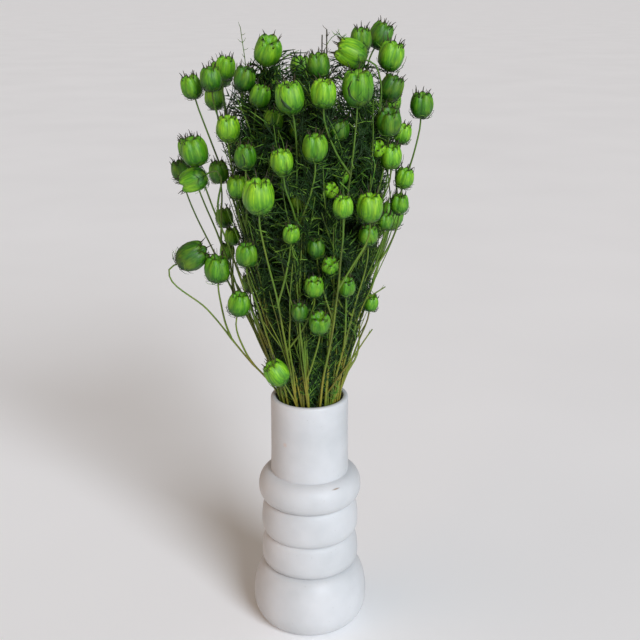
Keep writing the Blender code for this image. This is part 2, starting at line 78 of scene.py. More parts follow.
# %% The shoots
UPRIGHT = (0, -0.14, 0.99)  # the way most crowns point, a little toward the front
SHOOTS = [
    (1, 9.5, 25, (0.42, -0.13, 0.9), [(8.9, 5.9, 12.5), (17.1, 10.4, 213), (27, 17.4, 313.6),
     (37.9, 24.9, 408.1), (48.8, 32.4, 491.7), (53.4, 31, 501.4)]),
    (1, 8.5, 156, UPRIGHT, [(43, 28.4, 447.1), (41.7, 20.4, 463.1), (40.4, 12.4, 489.1), (40.4, 11, 499.4)]),
    (1, 7.5, 341, (0.17, -0.14, 0.98), [(36.9, 24.2, 399.9), (50.2, 23.3, 415.8), (63.6, 22.2, 441.9),
     (65.3, 20.9, 451.6)]),
    (2, 10.5, 193, (0.21, -0.56, 0.8), [(-5.7, -0.5, 12.5), (-12.7, -2.6, 213), (-19.7, -4.6, 310.6),
     (-26.9, -6.7, 402.8), (-34.2, -8.8, 484.2), (-31.8, -15, 493.2)]),
    (2, 8.5, 26, (0.17, -0.14, 0.98), [(-28.5, -7.1, 420.2), (-39.8, -9.7, 436.2), (-51.2, -12.3, 462.3),
     (-49.4, -13.8, 472.5)]),
    (2, 8, 132, UPRIGHT, [(-28.2, -7.1, 417.8), (-29.2, 0.1, 433.7), (-30.2, 7.4, 459.8),
     (-30.2, 5.9, 469.9)]),
    (3, 10.5, 13, (-0.91, -0.06, 0.42), [(7.6, -6.3, 12.5), (16.6, -12.1, 213), (27.7, -19.3, 313.1),
     (38.9, -26.5, 407.5), (50.1, -33.8, 490.9), (40, -34.5, 495.6)]),
    (3, 10, 33, (0.21, -0.14, 0.97), [(42.6, -28.9, 434.9), (53, -18.6, 448.5), (58.6, -7.4, 476.8),
     (60.9, -8.9, 487.5)]),
    (3, 9, 226, (0.37, -0.13, 0.92), [(39.7, -27.1, 413.8), (47.9, -19.8, 429.7), (56.1, -12.7, 455.8),
     (60.1, -14, 465.5)]),
    (4, 8.5, 183, (-0.07, -0.14, 0.99), [(1.4, -4.8, 12.5), (3.1, -10.3, 213), (4.8, -15.9, 306.6),
     (6.7, -21.7, 395), (9.3, -27.6, 472.9), (8.5, -29, 483.2)]),
    (4, 6, 104, (0.34, -0.13, 0.93), [(6.5, -21.1, 386.7), (-3.4, -24.6, 402.7), (-13.3, -28.1, 428.7),
     (-10, -29.3, 437.5)]),
    (4, 6.5, 113, UPRIGHT, [(5.8, -19, 353.5), (16, -29.6, 364.2), (24.6, -33.3, 395.3),
     (24.6, -34.7, 404.8)]),
    (5, 8.5, 21, UPRIGHT, [(-1.3, 4.4, 12.5), (-2.5, 8.8, 213), (-3.8, 13.3, 304.5), (-5.1, 17.8, 390.8),
     (-6.4, 22.4, 467), (-6.4, 21, 477.3)]),
    (6, 8.5, 234, (0.14, -0.14, 0.98), [(-11.6, 5.6, 12.5), (-19, 7.7, 213), (-35.4, 14.2, 304.5),
     (-52.1, 20.8, 390.7), (-68.8, 27.4, 466.8), (-67.3, 26, 477)]),
    (6, 8.5, 54, (-0.05, -0.14, 0.99), [(-58.2, 23.2, 418.6), (-66.2, 12.8, 434.6), (-74.1, 2.4, 460.6),
     (-74.6, 1, 470.9)]),
    (6, 7.5, 17, UPRIGHT, [(-51.2, 20.4, 386.2), (-46.8, 13.9, 402.1), (-42.3, 7.3, 428.2),
     (-42.3, 5.9, 438.1)]),
    (7, 11.5, 80, UPRIGHT, [(8.1, -12.4, 12.5), (13.2, -20.7, 213), (20.4, -32.4, 302.2),
     (27.9, -46.9, 383.7), (35.6, -62, 456.3), (35.6, -63.7, 467.8)]),
    (7, 9.25, 45, UPRIGHT, [(31.1, -53.2, 413.9), (21.4, -60.3, 429.8), (11.7, -67.4, 455.9),
     (11.7, -68.9, 466.5)]),
    (7, 7.5, 52, (0.09, -0.14, 0.99), [(28.3, -47.6, 387.1), (25.4, -45.8, 403.9), (21.7, -42.9, 429.1),
     (22.6, -44.3, 439)]),
    (8, 9.793, 136, (-0.12, 0.11, 0.99), [(-12.2, 12.4, 12.5), (-17.5, 17.2, 213), (-35.9, 34.9, 300.8),
     (-53.9, 52.3, 383.7), (-72, 69.7, 456.8), (-73.3, 71, 467.6)]),
    (8, 8.454, 150, (-0.13, 0.08, 0.99), [(-57.8, 56.1, 399.4), (-66.3, 49.9, 415.3), (-74.7, 43.7, 441.4),
     (-76.1, 44.5, 451.6)]),
    (9, 10.5, 298, (-0.14, -0.14, 0.98), [(-2.7, -11.2, 12.5), (-5, -23.1, 213), (-6.4, -35.8, 298.8),
     (-7.8, -48.9, 379.9), (-9.3, -62.2, 451.3), (-10.9, -63.8, 462.2)]),
    (9, 9.25, 230, UPRIGHT, [(-7.7, -48.2, 375.6), (-1.2, -57.7, 391.6), (5.4, -67.4, 417.6),
     (5.4, -68.9, 428.2)]),
    (9, 8.5, 209, (-0.09, -0.14, 0.99), [(-7.6, -46.8, 366.6), (-11.5, -55.7, 388.7), (-16.8, -67.6, 408.6),
     (-17.7, -69, 418.8)]),
    (10, 8.5, 117, (-0.24, -0.14, 0.96), [(-16.7, 6.3, 12.5), (-23.6, 6.7, 213), (-42.4, 12.5, 301.2),
     (-63.1, 16.6, 383.9), (-87.6, 17.4, 453.7), (-90.1, 16, 463.7)]),
    (10, 7, 250, UPRIGHT, [(-32.6, 9.5, 255), (-40.7, 8.3, 271.2), (-48.8, 7.1, 297.1), (-48.8, 5.7, 306.8)]),
    (11, 8, 153, (0.26, -0.13, 0.96), [(-8.1, -5.1, 12.5), (-16.1, -9.4, 213), (-24.1, -13.9, 298.8),
     (-32.3, -18.4, 379.9), (-40.6, -23, 451.3), (-38, -24.3, 461.1)]),
    (11, 7.5, 351, (0.14, -0.14, 0.98), [(-33.7, -19.2, 391.9), (-30.8, -23.4, 407.8), (-27.9, -27.8, 433.9),
     (-26.5, -29.1, 443.7)]),
    (11, 7, 108, UPRIGHT, [(-28.4, -16.2, 341.3), (-22.3, -19.5, 357.3), (-16.2, -22.8, 383.3),
     (-16.2, -24.2, 393)]),
    (12, 6.5, 208, (-0.17, -0.14, 0.98), [(10.5, -2, 12.5), (19.2, -4.4, 213), (28.5, -7.2, 296.2),
     (37.8, -9.9, 374.7), (47.2, -12.6, 444.1), (45.5, -13.9, 453.5)]),
    (12, 6, 197, (0.5, -0.12, 0.86), [(37.2, -9.7, 369.2), (32.8, -9, 385.2), (28.4, -8.3, 411.2),
     (33.1, -9.4, 419.3)]),
    (13, 9, 143, (0.03, -0.14, 0.99), [(20.9, 3.8, 12.5), (24.4, 2.9, 213), (46.9, 3.7, 294.4),
     (68.5, 4.3, 369.5), (86.8, -2.2, 440.6), (87.2, -3.6, 451.1)]),
    (13, 7, 111, (0.14, -0.14, 0.98), [(71.4, 3.3, 380.7), (68.8, -2.2, 403.7), (70.1, -12.4, 422.9),
     (71.5, -13.8, 432.5)]),
    (13, 6.5, 211, UPRIGHT, [(62.7, 4.1, 349.2), (57.5, 5.6, 365.1), (52.3, 7.1, 391.2), (52.3, 5.8, 400.7)]),
    (14, 9.5, 42, (0, -0.42, 0.91), [(12.7, -8.1, 12.5), (21.6, -11.7, 213), (34.5, -18.5, 292.3),
     (47.4, -25.3, 367.1), (60.3, -32.1, 433.2), (60.3, -36.6, 443)]),
    (14, 6.5, 134, (0, -0.91, 0.42), [(50.3, -26.8, 382.1), (51.2, -24.1, 398), (52, -21.3, 424.1),
     (52, -30, 428.1)]),
    (14, 8.5, 23, UPRIGHT, [(46.8, -25, 363.6), (54.3, -26.3, 382), (62.9, -27.6, 405.6),
     (62.9, -29, 415.9)]),
    (15, 9, 309, UPRIGHT, [(-12.1, -8.2, 12.5), (-20.9, -12.8, 213), (-33.9, -19.4, 290),
     (-46.9, -25.9, 362.7), (-59.8, -32.5, 426.8), (-59.8, -33.9, 437.3)]),
    (15, 8.25, 65, UPRIGHT, [(-47.9, -26.5, 368), (-46.9, -39.5, 383.9), (-45.9, -52.6, 410),
     (-45.9, -54, 420.2)]),
    (15, 8, 163, UPRIGHT, [(-43, -24, 341.1), (-48.8, -25.8, 357), (-54.5, -27.6, 383.1),
     (-54.5, -29.1, 393.2)]),
    (16, 10.5, 294, (-0.21, -0.14, 0.97), [(-19.9, -7.9, 12.5), (-23.2, -8.2, 213), (-43.2, -12.9, 282.7),
     (-63, -17.6, 348.5), (-82.7, -22.3, 406.6), (-85, -23.8, 417.4)]),
    (16, 9.5, 245, (-0.93, 0.05, -0.37), [(-70.5, -19.4, 370.6), (-70.1, -25.2, 386.6), (-69.8, -31, 412.6),
     (-79.8, -30.4, 408.6)]),
    (17, 7.996, 171, (-0.18, 0.03, 0.98), [(-21.2, 2.1, 12.5), (-24.5, 1.8, 213), (-49.7, 5.5, 280.5),
     (-72.7, 9.8, 346.4), (-94.2, 14.9, 405.7), (-96, 15.2, 415.8)]),
    (17, 8, 154, (-0.09, -0.14, 0.99), [(-73.1, 9.9, 347.3), (-71.3, 6.1, 363.2), (-69.5, 2.3, 389.3),
     (-70.4, 0.9, 399.4)]),
    (17, 6.5, 151, UPRIGHT, [(-49.1, 5.4, 278.8), (-56.6, 15, 301), (-68.5, 22.5, 321.1),
     (-68.5, 21.2, 330.6)]),
    (18, 8.216, 32, (0.13, 0.08, 0.99), [(14.8, 10.9, 12.5), (19.7, 14.6, 213), (38.2, 27, 275.7),
     (53.7, 36.4, 337.2), (65.5, 41.5, 398.2), (66.8, 42.3, 408.3)]),
    (18, 8.466, 51, (0.09, 0.11, 0.99), [(56.3, 37.5, 350.6), (49.9, 45.7, 366.5), (43.5, 53.8, 392.6),
     (44.4, 55, 402.8)]),
    (18, 10.48, 28, (0.16, 0.09, 0.98), [(44.5, 30.8, 300.5), (55, 32.9, 316.5), (65.4, 35, 342.5),
     (67.2, 36, 353.5)]),
    (19, 7.5, 21, (0.17, -0.14, 0.98), [(20.2, -6.6, 12.5), (23.5, -7, 213), (35.8, -9.5, 282.1),
     (53, -10.1, 337.6), (72.1, -9.4, 387.4), (73.8, -10.8, 397.1)]),
    (19, 7.5, 207, (0.03, -0.14, 0.99), [(48.7, -10, 323.9), (60.1, -7.7, 339.8), (71.4, -5.6, 365.7),
     (71.7, -7, 375.6)]),
    (19, 6, 263, (0.09, -0.14, 0.99), [(46.1, -9.9, 315.5), (52.4, -16.3, 331.5), (58.7, -22.9, 357.4),
     (59.5, -24.3, 366.6)]),
    (20, 11.75, 252, UPRIGHT, [(-7.6, -16.3, 12.5), (-10.1, -22.4, 213), (-17.9, -42, 275.5),
     (-26.3, -62, 331.3), (-34.7, -82, 382.1), (-34.7, -83.6, 393.7)]),
    (20, 6.5, 176, (0.09, -0.34, 0.94), [(-23.7, -55.9, 314.2), (-18.7, -53.9, 330.2), (-13.8, -52, 355.5),
     (-13, -55.3, 364.5)]),
    (20, 7.5, 315, (0, -0.34, 0.94), [(-17.2, -40.3, 270.2), (-6.4, -45.1, 287), (4.6, -50, 312.2),
     (4.6, -53.4, 321.6)]),
    (21, 8, 74, (-0.17, -0.14, 0.98), [(-17.3, 11.8, 12.5), (-21.8, 11.3, 213), (-50.4, 17.4, 273.9),
     (-77.6, 22.7, 329.6), (-101.9, 27.6, 385.8), (-103.7, 26.2, 395.8)]),
    (21, 7.528, 153, (-0.17, 0.08, 0.98), [(-64.6, 20.1, 303), (-66.5, 27.5, 318.5), (-68.4, 34.9, 345),
     (-70.1, 35.7, 354.8)]),
    (21, 6.5, 55, UPRIGHT, [(-60.5, 19.3, 294.6), (-63.3, 14.5, 306.5), (-62.8, 11, 336.6),
     (-62.8, 9.6, 346.1)]),
    (22, 6, 286, (0, -0.87, 0.5), [(3.6, -9.5, 12.5), (6.9, -16.6, 213), (10.2, -23.8, 278.4),
     (13.5, -31.2, 339.9), (16.9, -37.8, 394.6), (16.9, -45.9, 399.3)]),
    (22, 6, 88, UPRIGHT, [(13.1, -30.4, 333.1), (2.9, -31.6, 349), (-7.2, -33, 375), (-7.2, -34.3, 384.4)]),
    (22, 6.5, 104, (-0.26, -0.48, 0.84), [(12.2, -28.5, 317.2), (16.1, -21.4, 333.1), (20.1, -14.5, 359.6),
     (17.6, -19.2, 367.6)]),
    (23, 7.189, 109, (-0.06, 0.16, 0.98), [(-7, 16.4, 12.5), (-8.9, 22.9, 213), (-15.2, 41.2, 272.6),
     (-21.5, 59.2, 329.1), (-27.4, 77.4, 378.6), (-27.9, 79, 388.3)]),
    (23, 9.455, 117, (-0.06, 0.13, 0.99), [(-21, 57.9, 325), (-24.9, 57.4, 340.9), (-28.9, 56.8, 367),
     (-29.6, 58.2, 377.6)]),
    (23, 7.358, 87, (0.01, 0.14, 0.99), [(-21.1, 58.2, 325.8), (-9.1, 61.2, 341.8), (3, 64.2, 367.8),
     (3, 65.6, 377.7)]),
    (24, 7.5, 189, UPRIGHT, [(5.2, -17.6, 12.5), (8.6, -23, 213), (16.4, -39.8, 272.7), (22.6, -57.2, 326.4),
     (25.9, -73.1, 377.9), (25.9, -74.5, 387.8)]),
    (24, 10, 315, UPRIGHT, [(22.7, -57.9, 328.8), (33.9, -58.5, 346.5), (46, -57.3, 370.8),
     (46, -58.8, 381.7)]),
    (24, 7, 275, (-0.09, -0.14, 0.99), [(19.3, -47.9, 297.6), (13.9, -46.3, 314.4), (7.5, -46, 340.7),
     (6.7, -47.4, 350.4)]),
    (25, 9.22, 73, (0.04, 0.14, 0.99), [(5, 16.9, 12.5), (7, 23.5, 213), (10.4, 34.9, 262.3),
     (13.7, 46.2, 308.8), (17.1, 57.4, 349.9), (17.5, 58.9, 360.5)]),
    (25, 10.09, 82, (0.02, 0.16, 0.99), [(8.9, 29.9, 240.8), (7.9, 38.7, 256.8), (6.9, 47.4, 282.8),
     (7.2, 49.2, 293.7)]),
    (26, 7.5, 14, UPRIGHT, [(13.6, -13.1, 12.5), (17.7, -17, 213), (27.3, -23.9, 261.5), (36.7, -30.8, 307.3),
     (46, -37.7, 347.7), (46, -39.1, 357.6)]),
    (26, 6.5, 206, (0, -0.77, 0.64), [(33.9, -28.7, 293.5), (25.4, -37.4, 308.1), (16.6, -43.9, 335),
     (16.6, -51.3, 341.2)]),
    (26, 7, 113, (0, -0.42, 0.91), [(29, -25.2, 269.8), (29.3, -33.4, 285.8), (29.5, -41.7, 311.5),
     (29.5, -45.8, 320.4)]),
    (27, 9.417, 101, (-0.04, 0.18, 0.98), [(-2.1, 17.7, 12.5), (-3.9, 24.2, 213), (-7.4, 41.6, 260.5),
     (-10.8, 58.8, 305.3), (-14.2, 75.9, 344.9), (-14.6, 77.9, 355.5)]),
    (28, 7.565, 51, (0.11, 0.14, 0.98), [(10.8, 14, 12.5), (15.2, 19.3, 213), (25.3, 31.9, 259.3),
     (35.4, 44.4, 303), (45.4, 56.9, 341.5), (46.5, 58.3, 351.4)]),
    (29, 7.529, 17, (0.13, 0.04, 0.99), [(14.8, 5.8, 12.5), (21.4, 7, 213), (29.2, 6.6, 260), (38, 8, 305.4),
     (52.6, 15.7, 340.9), (53.9, 16.1, 350.8)]),
    (29, 5.5, 241, (0.17, -0.14, 0.98), [(33.8, 7.3, 283.5), (41.8, 3.8, 299.3), (49.7, 0.8, 326),
     (51.3, -0.5, 335)]),
    (29, 9.689, 27, (0.12, 0.06, 0.99), [(29.2, 6.6, 259.8), (32, 15.5, 275.3), (37.8, 22.4, 302.5),
     (39.1, 23.1, 313.2)]),
    (30, 8.5, 273, UPRIGHT, [(-12.8, -13.8, 12.5), (-17.6, -17.1, 213), (-27.7, -25.7, 256.1),
     (-37.6, -34.1, 296.7), (-47.6, -42.6, 332.6), (-47.6, -44, 342.9)]),
    (31, 11.5, 353, (0.85, -0.07, 0.52), [(-17.3, -2.3, 12.5), (-24.3, -3.3, 213), (-53.7, -8.4, 255.5),
     (-82.6, -13.4, 295.7), (-111.4, -18.4, 331.2), (-101.6, -19.3, 337.3)]),
    (31, 10.25, 43, UPRIGHT, [(-65.2, -10.4, 271.5), (-68.8, -16.3, 287.5), (-72.3, -22.3, 313.5),
     (-72.3, -23.8, 324.5)]),
    (31, 9, 214, (0.17, -0.14, 0.98), [(-47, -7.2, 245.9), (-52.8, -17.4, 261.8), (-58.6, -27.5, 287.9),
     (-56.8, -29, 298.2)]),
    (32, 6.5, 164, UPRIGHT, [(-0.8, -18.9, 12.5), (-0.2, -24.5, 213), (-2.5, -34.1, 241.5),
     (-4.7, -43.5, 268.2), (-6.8, -52.9, 292.1), (-6.8, -54.2, 301.6)]),
    (32, 8.5, 302, (0, -0.57, 0.82), [(-2.6, -34.4, 242.3), (2.9, -39.9, 258.3), (8.6, -45.4, 284.2),
     (8.6, -51.4, 292.7)]),
    (32, 9.75, 340, (-0.5, -0.12, 0.86), [(-0.4, -22.4, 140), (-8, -23.5, 195), (-11, -24.5, 216),
     (-14.6, -33, 229), (-21.1, -44.4, 245.7)]),
    (33, 6.5, 209, (0.14, -0.14, 0.98), [(16.6, -1.1, 12.5), (24.5, -2.1, 213), (32.6, -2.8, 238.5),
     (40.6, -3.5, 263), (48.5, -4.1, 284.3), (49.8, -5.4, 293.7)]),
    (33, 7.568, 19, (0.13, 0.05, 0.99), [(33, -2.9, 240), (40.3, 3.8, 250.4), (42.7, 13.8, 280.3),
     (44, 14.3, 290.3)]),
]
POD_STRETCH = 1.08


class Shoot:
    """One stalk and its pod. Its name, for the tables below, is its stem and its radius in mm."""

    def __init__(self, stem, radius, turn, axis, route):
        self.stem = stem
        self.name = (stem, radius)
        self.radius = radius * MM
        self.turn = math.radians(turn)
        self.axis = Vector(axis).normalized()
        self.facing = self.axis.to_track_quat("Z", "Y")
        self.route = [Vector(place) * MM for place in route]
        self.middle = self.route[-1] + self.axis * self.radius * POD_STRETCH * 0.78

    def place(self, around, out, rise):
        """A place on the pod, from an angle round its axis and shares of its radius."""
        angle = around + self.turn
        local = Vector((out * math.cos(angle), out * math.sin(angle), rise * POD_STRETCH))
        return self.middle + self.facing @ (local * self.radius)


shoots = [Shoot(*row) for row in SHOOTS]
stems = [[s for s in shoots if s.stem == number] for number in sorted({s.stem for s in shoots})]
print(len(stems), "cut stems with", len(shoots), "pods")

# %% [markdown]
# Colours are written as sRGB hex values and turned into the linear light that a renderer adds up. One helper
# fills or links a node's inputs, and another adds a node of any kind and sets it. Natural patterns are soft
# random patches, so a third measures such patches out in millimetres and can draw them out along an axis.


# %% Helpers for finishes
def linear(hex_text):
    channels = [int(hex_text[k : k + 2], 16) / 255 for k in (1, 3, 5)]
    return tuple(c / 12.92 if c <= 0.04045 else ((c + 0.055) / 1.055) ** 2.4 for c in channels) + (1.0,)


def fill(node, inputs):
    """Sets a node's inputs, or links them where the value is another node's output."""
    for name, value in inputs.items():
        if isinstance(value, bpy.types.NodeSocket):
            node.id_data.links.new(value, node.inputs[name])
        else:
            node.inputs[name].default_value = value


def add(tree, kind, out, inputs=None, stops=(), **settings):
    """Adds a node of any kind, with its settings and inputs, and returns one of its outputs."""
    node = tree.nodes.new("ShaderNode" + kind)
    for name, value in settings.items():
        setattr(node, name, value)
    for number, (share, colour) in enumerate(stops):
        points = node.color_ramp.elements
        point = points[number] if number < 2 else points.new(share)
        point.position, point.color = share, linear(colour)
    fill(node, inputs or {})
    return node.outputs[out]


def patches(tree, size, detail=2.0, stretch=(1, 1, 1)):
    """Random values from 0 to 1 in patches about as wide as the size in mm."""
    here = add(tree, "TexCoord", "Object")
    scale = tuple(1 / (size * MM * s) for s in stretch)
    moved = add(tree, "Mapping", "Vector", {"Vector": here, "Scale": scale})
    return add(tree, "TexNoise", "Fac", {"Vector": moved, "Scale": 1.0, "Detail": detail})


def new_finish(name, roughness, ior):
    made = bpy.data.materials.new(name)
    made.use_nodes = True
    shader = made.node_tree.nodes["Principled BSDF"]
    fill(shader, {"Roughness": roughness, "IOR": ior})
    return made, made.node_tree, shader


print("a mid green becomes", [round(c, 3) for c in linear("#4f9a1e")])

# %% [markdown]
# A dried nigella pod is a thin parchment skin over air. Dye lies thin and bright on the swollen backs of its
# carpels and gathers dark in the seams and round the stalk, and streaks follow the veins from foot to crown.
# The underside is darkened further with painted shade. Each pod carries its own numbers for this: how far
# from a seam, how high up, how strongly it was dyed, with painted light and shade on some pods in front,
# and how plainly its seams show. The seam itself is drawn by the finish, finer than the mesh could hold it.


# %% The pod skin
def pod_skin():
    made, tree, shader = new_finish("dyed parchment pod skin", 0.5, 1.45)
    marks = add(tree, "Attribute", "Color", attribute_name="skin")
    red = add(tree, "SeparateColor", "Red", {"Color": marks})
    green, blue = red.node.outputs["Green"], red.node.outputs["Blue"]
    place = add(tree, "Attribute", "Vector", attribute_name="pod_place")
    # Veins about 1 mm apart on a pod 18 mm wide, nine times longer than wide
    drawn = add(tree, "Mapping", "Vector", {"Vector": place, "Scale": (9, 9, 1)})
    veins = add(tree, "TexNoise", "Fac", {"Vector": drawn, "Scale": 1.0, "Detail": 4.0})
    # Blots 5 mm wide, where the dye ran
    wide = add(tree, "Mapping", "Vector", {"Vector": place, "Scale": (1.8, 1.8, 1.2)})
    blots = add(tree, "TexNoise", "Fac", {"Vector": wide, "Scale": 1.0, "Detail": 3.0})
    # The seams waver with the veins. A fainter line runs up each rib, and one between rib and seam
    wavy = add(tree, "Math", 0, {0: veins, 1: 0.12, 2: red}, operation="MULTIPLY_ADD")
    depths = (0.0, "#d0d0d0"), (0.1, "#acacac"), (0.17, "#606060"), (0.36, "#363636"), (0.5, "#2c2c2c")
    depths += (0.56, "#606060"), (0.62, "#2c2c2c"), (0.94, "#2c2c2c"), (1.0, "#707070")
    lines = add(tree, "ValToRGB", "Color", {"Fac": wavy}, depths)
    shift = add(tree, "Math", 0, {0: veins, 1: 0.9, 2: -0.29}, operation="MULTIPLY_ADD")
    ribbed = marks.node.outputs["Alpha"]
    dark = add(tree, "Math", 0, {0: lines, 1: ribbed, 2: shift}, operation="MULTIPLY_ADD")
    dyes = (0.0, "#97cc20"), (0.2, "#69a81a"), (0.45, "#3c7a10"), (0.7, "#1f4c09"), (1.0, "#0d2604")
    skin = add(tree, "ValToRGB", "Color", {"Fac": dark}, dyes)
    # Darker toward the foot: dye gathers round the stalk, and the underside also gets painted shade
    dye_and_painted_shade_by_height = (0.0, "#4a7a44"), (0.3, "#a8c79a"), (0.65, "#ffffff"), (0.97, "#ffffff"), (1.0, "#76804c")
    height = add(tree, "ValToRGB", "Color", {"Fac": green}, dye_and_painted_shade_by_height)
    # Blue is each pod's dye, with painted light and painted shade on the pods in the table
    strengths = (0.0, "#6c9062"), (0.35, "#adc89a"), (0.8, "#f0f8e0"), (1.0, "#fff6d2")
    strength = add(tree, "ValToRGB", "Color", {"Fac": blue}, strengths)
    for tint in (height, strength):
        skin = add(tree, "Mix", 2, {0: 1.0, 6: skin, 7: tint}, data_type="RGBA", blend_type="MULTIPLY")
    thin = add(tree, "ValToRGB", "Color", {"Fac": blots}, ((0.45, "#000000"), (0.7, "#707070")))
    skin = add(tree, "Mix", 2, {0: thin, 6: skin, 7: linear("#b2d02a")}, data_type="RGBA")
    gloss = add(tree, "MapRange", 0, {"Value": blots, "To Min": 0.4, "To Max": 0.62})
    relief = add(tree, "Bump", 0, {"Height": veins, "Distance": 0.3 * MM, "Strength": 0.6})
    fill(shader, {"Base Color": skin, "Roughness": gloss, "Normal": relief})
    return made


# %% [markdown]
# The stems took less dye than the pods, so straw shows through it near the cut end, where they stood
# bundled in the dye bath. Fine ridges run along each stem, and here and there one dried brown.


# %% The stem bark
def stem_bark():
    made, tree, shader = new_finish("dyed dry stem bark", 0.55, 1.45)
    height = add(tree, "SeparateXYZ", "Z", {"Vector": add(tree, "TexCoord", "Object")})
    up = add(tree, "MapRange", 0, {"Value": height, "From Min": 190 * MM, "From Max": 460 * MM})
    # Patches of 16 mm, drawn out along the stem, tell neighbouring stems apart
    apart = patches(tree, 16, 2.0, (1, 1, 4))
    shift = add(tree, "Math", 0, {0: apart, 1: 1.3, 2: -0.65}, operation="MULTIPLY_ADD")
    share = add(tree, "Math", 0, {0: up, 1: shift}, operation="ADD")
    dyes = (0.0, "#908a2c"), (0.25, "#768626"), (0.55, "#648424"), (1.0, "#527a1e")
    bark = add(tree, "ValToRGB", "Color", {"Fac": share}, dyes)
    spots = patches(tree, 9, 1.0, (1, 1, 6))
    dried = add(tree, "ValToRGB", "Color", {"Fac": spots}, ((0.56, "#000000"), (0.64, "#b0b0b0")))
    bark = add(tree, "Mix", 2, {0: dried, 6: bark, 7: linear("#46381a")}, data_type="RGBA")
    # Ridges of 0.4 mm along the stem
    ridges = patches(tree, 0.4, 2.0, (1, 1, 20))
    shade = add(tree, "ValToRGB", "Color", {"Fac": ridges}, ((0.3, "#7a7a7a"), (0.7, "#ffffff")))
    bark = add(tree, "Mix", 2, {0: 0.6, 6: bark, 7: shade}, data_type="RGBA", blend_type="MULTIPLY")
    relief = add(tree, "Bump", 0, {"Height": ridges, "Distance": 0.12 * MM, "Strength": 1.0})
    fill(shader, {"Base Color": bark, "Normal": relief})
    return made


# %% [markdown]
# Leaves and bracts of nigella are cut into threads finer than a millimetre. They soak up most dye and dry
# almost black-green. A few are pale, partly where the dye did not reach and partly as painted glints.
# Styles are bare and dry dark brown.


# %% The thread finishes
def thread_finish(name, low, high, roughness):
    made, tree, shader = new_finish(name, roughness, 1.45)
    # Patches of 9 mm, about as far as the dye creeps along a thread
    dyed = add(tree, "ValToRGB", "Color", {"Fac": patches(tree, 9, 3.0)}, ((0.3, low), (0.7, high)))
    relief = add(tree, "Bump", 0, {"Height": patches(tree, 0.6), "Distance": 0.08 * MM, "Strength": 1.0})
    fill(shader, {"Base Color": dyed, "Normal": relief})
    return made


finishes = [
    pod_skin(),
    stem_bark(),
    thread_finish("dried dark style horn", "#17150a", "#3d3618", 0.5),
    thread_finish("dyed leaf thread", "#071d02", "#204a09", 0.6),
    # Pale threads: partly thin dye, partly painted glints
    thread_finish("pale thread, partly painted glint", "#37781a", "#7a9c34", 0.6),
]
SKIN, BARK, HORN, THREAD, PALE = range(len(finishes))
print([finish.name for finish in finishes])

# %% [markdown]
# A pod starts as a ball whose rings follow a real pod's outline: a narrow foot, a full belly and a shoulder
# that dips to the middle of the crown. Between the carpels the wall draws in to a seam, and each carpel
# ends in a raised tip at the crown, so the outline is scalloped when it is seen from above. The pods in
# front took the dye unevenly, and some are made brighter with painted light and some darker with painted
# shade, so a table says how bright each one is, and the others are drawn at random.

# %% The pods
CARPELS = 5
OUTLINE = np.array(
    [
        # how far down from the crown, how far out, how high, how deep the seams
        (0.00, 0.00, 0.60, 0.10),
        (0.08, 0.20, 0.66, 0.34),
        (0.16, 0.40, 0.80, 0.40),
        (0.22, 0.55, 0.96, 0.38),
        (0.30, 0.75, 0.88, 0.29),
        (0.38, 0.91, 0.64, 0.18),
        (0.50, 1.00, 0.18, 0.10),
        (0.60, 1.00, -0.18, 0.09),
        (0.72, 0.89, -0.56, 0.08),
        (0.84, 0.62, -0.86, 0.07),
        (0.93, 0.32, -0.97, 0.06),
        (1.00, 0.00, -1.01, 0.00),
    ]
)


# How bright each pod in front is, from 0, dark, to 1, bright, by stem and radius: uneven dye, with
# painted light on some and painted shade on others
DYES_AND_PAINTED_LIGHT = {
    (2, 10.5): 0.5, (3, 10.5): 0.9, (7, 9.25): 0.9, (7, 11.5): 0.42, (9, 10.5): 0.6, (9, 9.25): 0.45,
    (11, 8): 0.35, (20, 11.75): 0.9, (20, 6.5): 0.6, (20, 7.5): 0.55, (24, 7.5): 0.8, (24, 10): 0.95,
    (26, 7): 0.28, (26, 7.5): 0.3, (30, 8.5): 0.3, (31, 10.25): 0.35, (31, 9): 0.4, (32, 8.5): 0.32,
    (32, 9.75): 0.75,
}


def bell(distance, width):
    """1 at no distance, falling softly to 0 past the width."""
    return math.exp(-((distance / width) ** 2))


